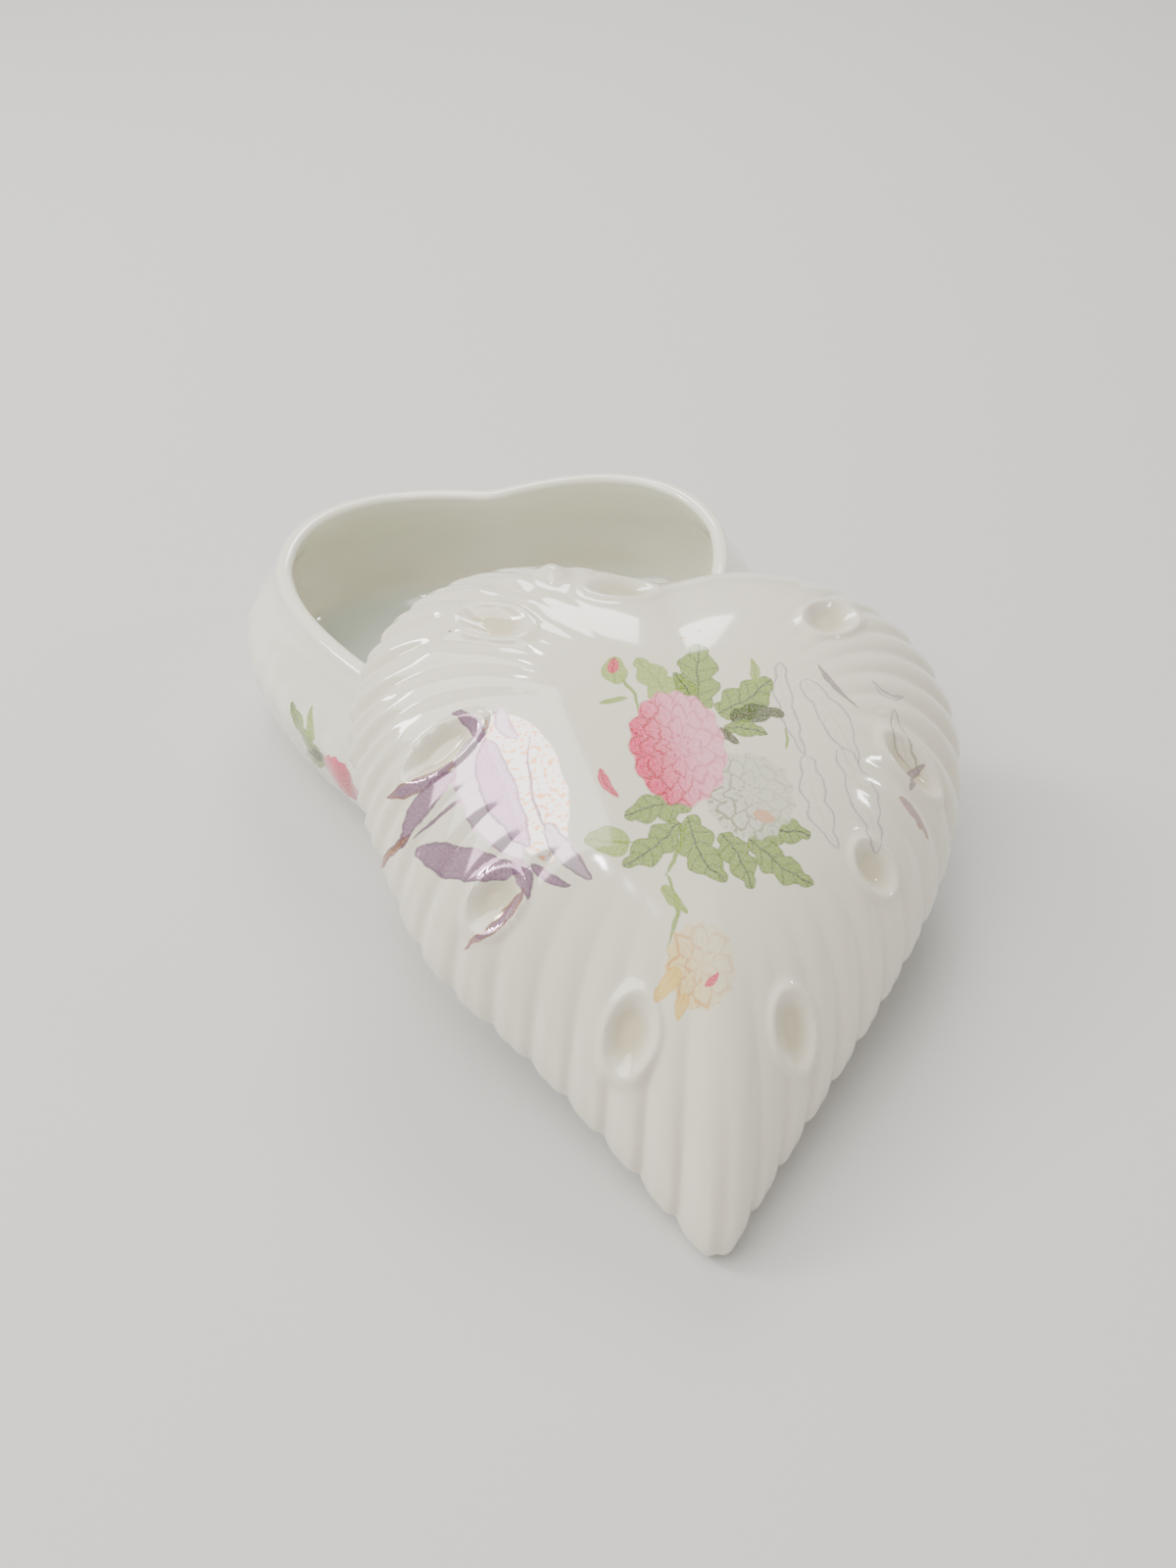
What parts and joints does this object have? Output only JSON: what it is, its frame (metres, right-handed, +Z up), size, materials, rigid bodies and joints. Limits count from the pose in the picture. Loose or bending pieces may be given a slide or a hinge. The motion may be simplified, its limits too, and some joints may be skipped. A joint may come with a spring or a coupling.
{
  "type": "trinket box",
  "caption": "Heart-shaped glazed porcelain trinket box, open, with its fluted domed lid leaning on the rim, tip on the table.",
  "frame": {"origin": "on the table, under the middle of the bounding box of the box and the leaning lid together", "axes": "+Z up; +Y along the box's heart, from its tip to its notch; the lid leans towards -Y"},
  "size_m": [0.1474, 0.1918, 0.0642],
  "materials": {
    "box_glaze": "warm white glossy glaze with small printed flowers, cooler inside",
    "lid_glaze": "warm white glossy glaze with printed flowers, some worn, and a trace of lustre"
  },
  "bodies": {
    "root": {"box": "box_glaze", "lid": "lid_glaze"}
  },
  "joints": []
}
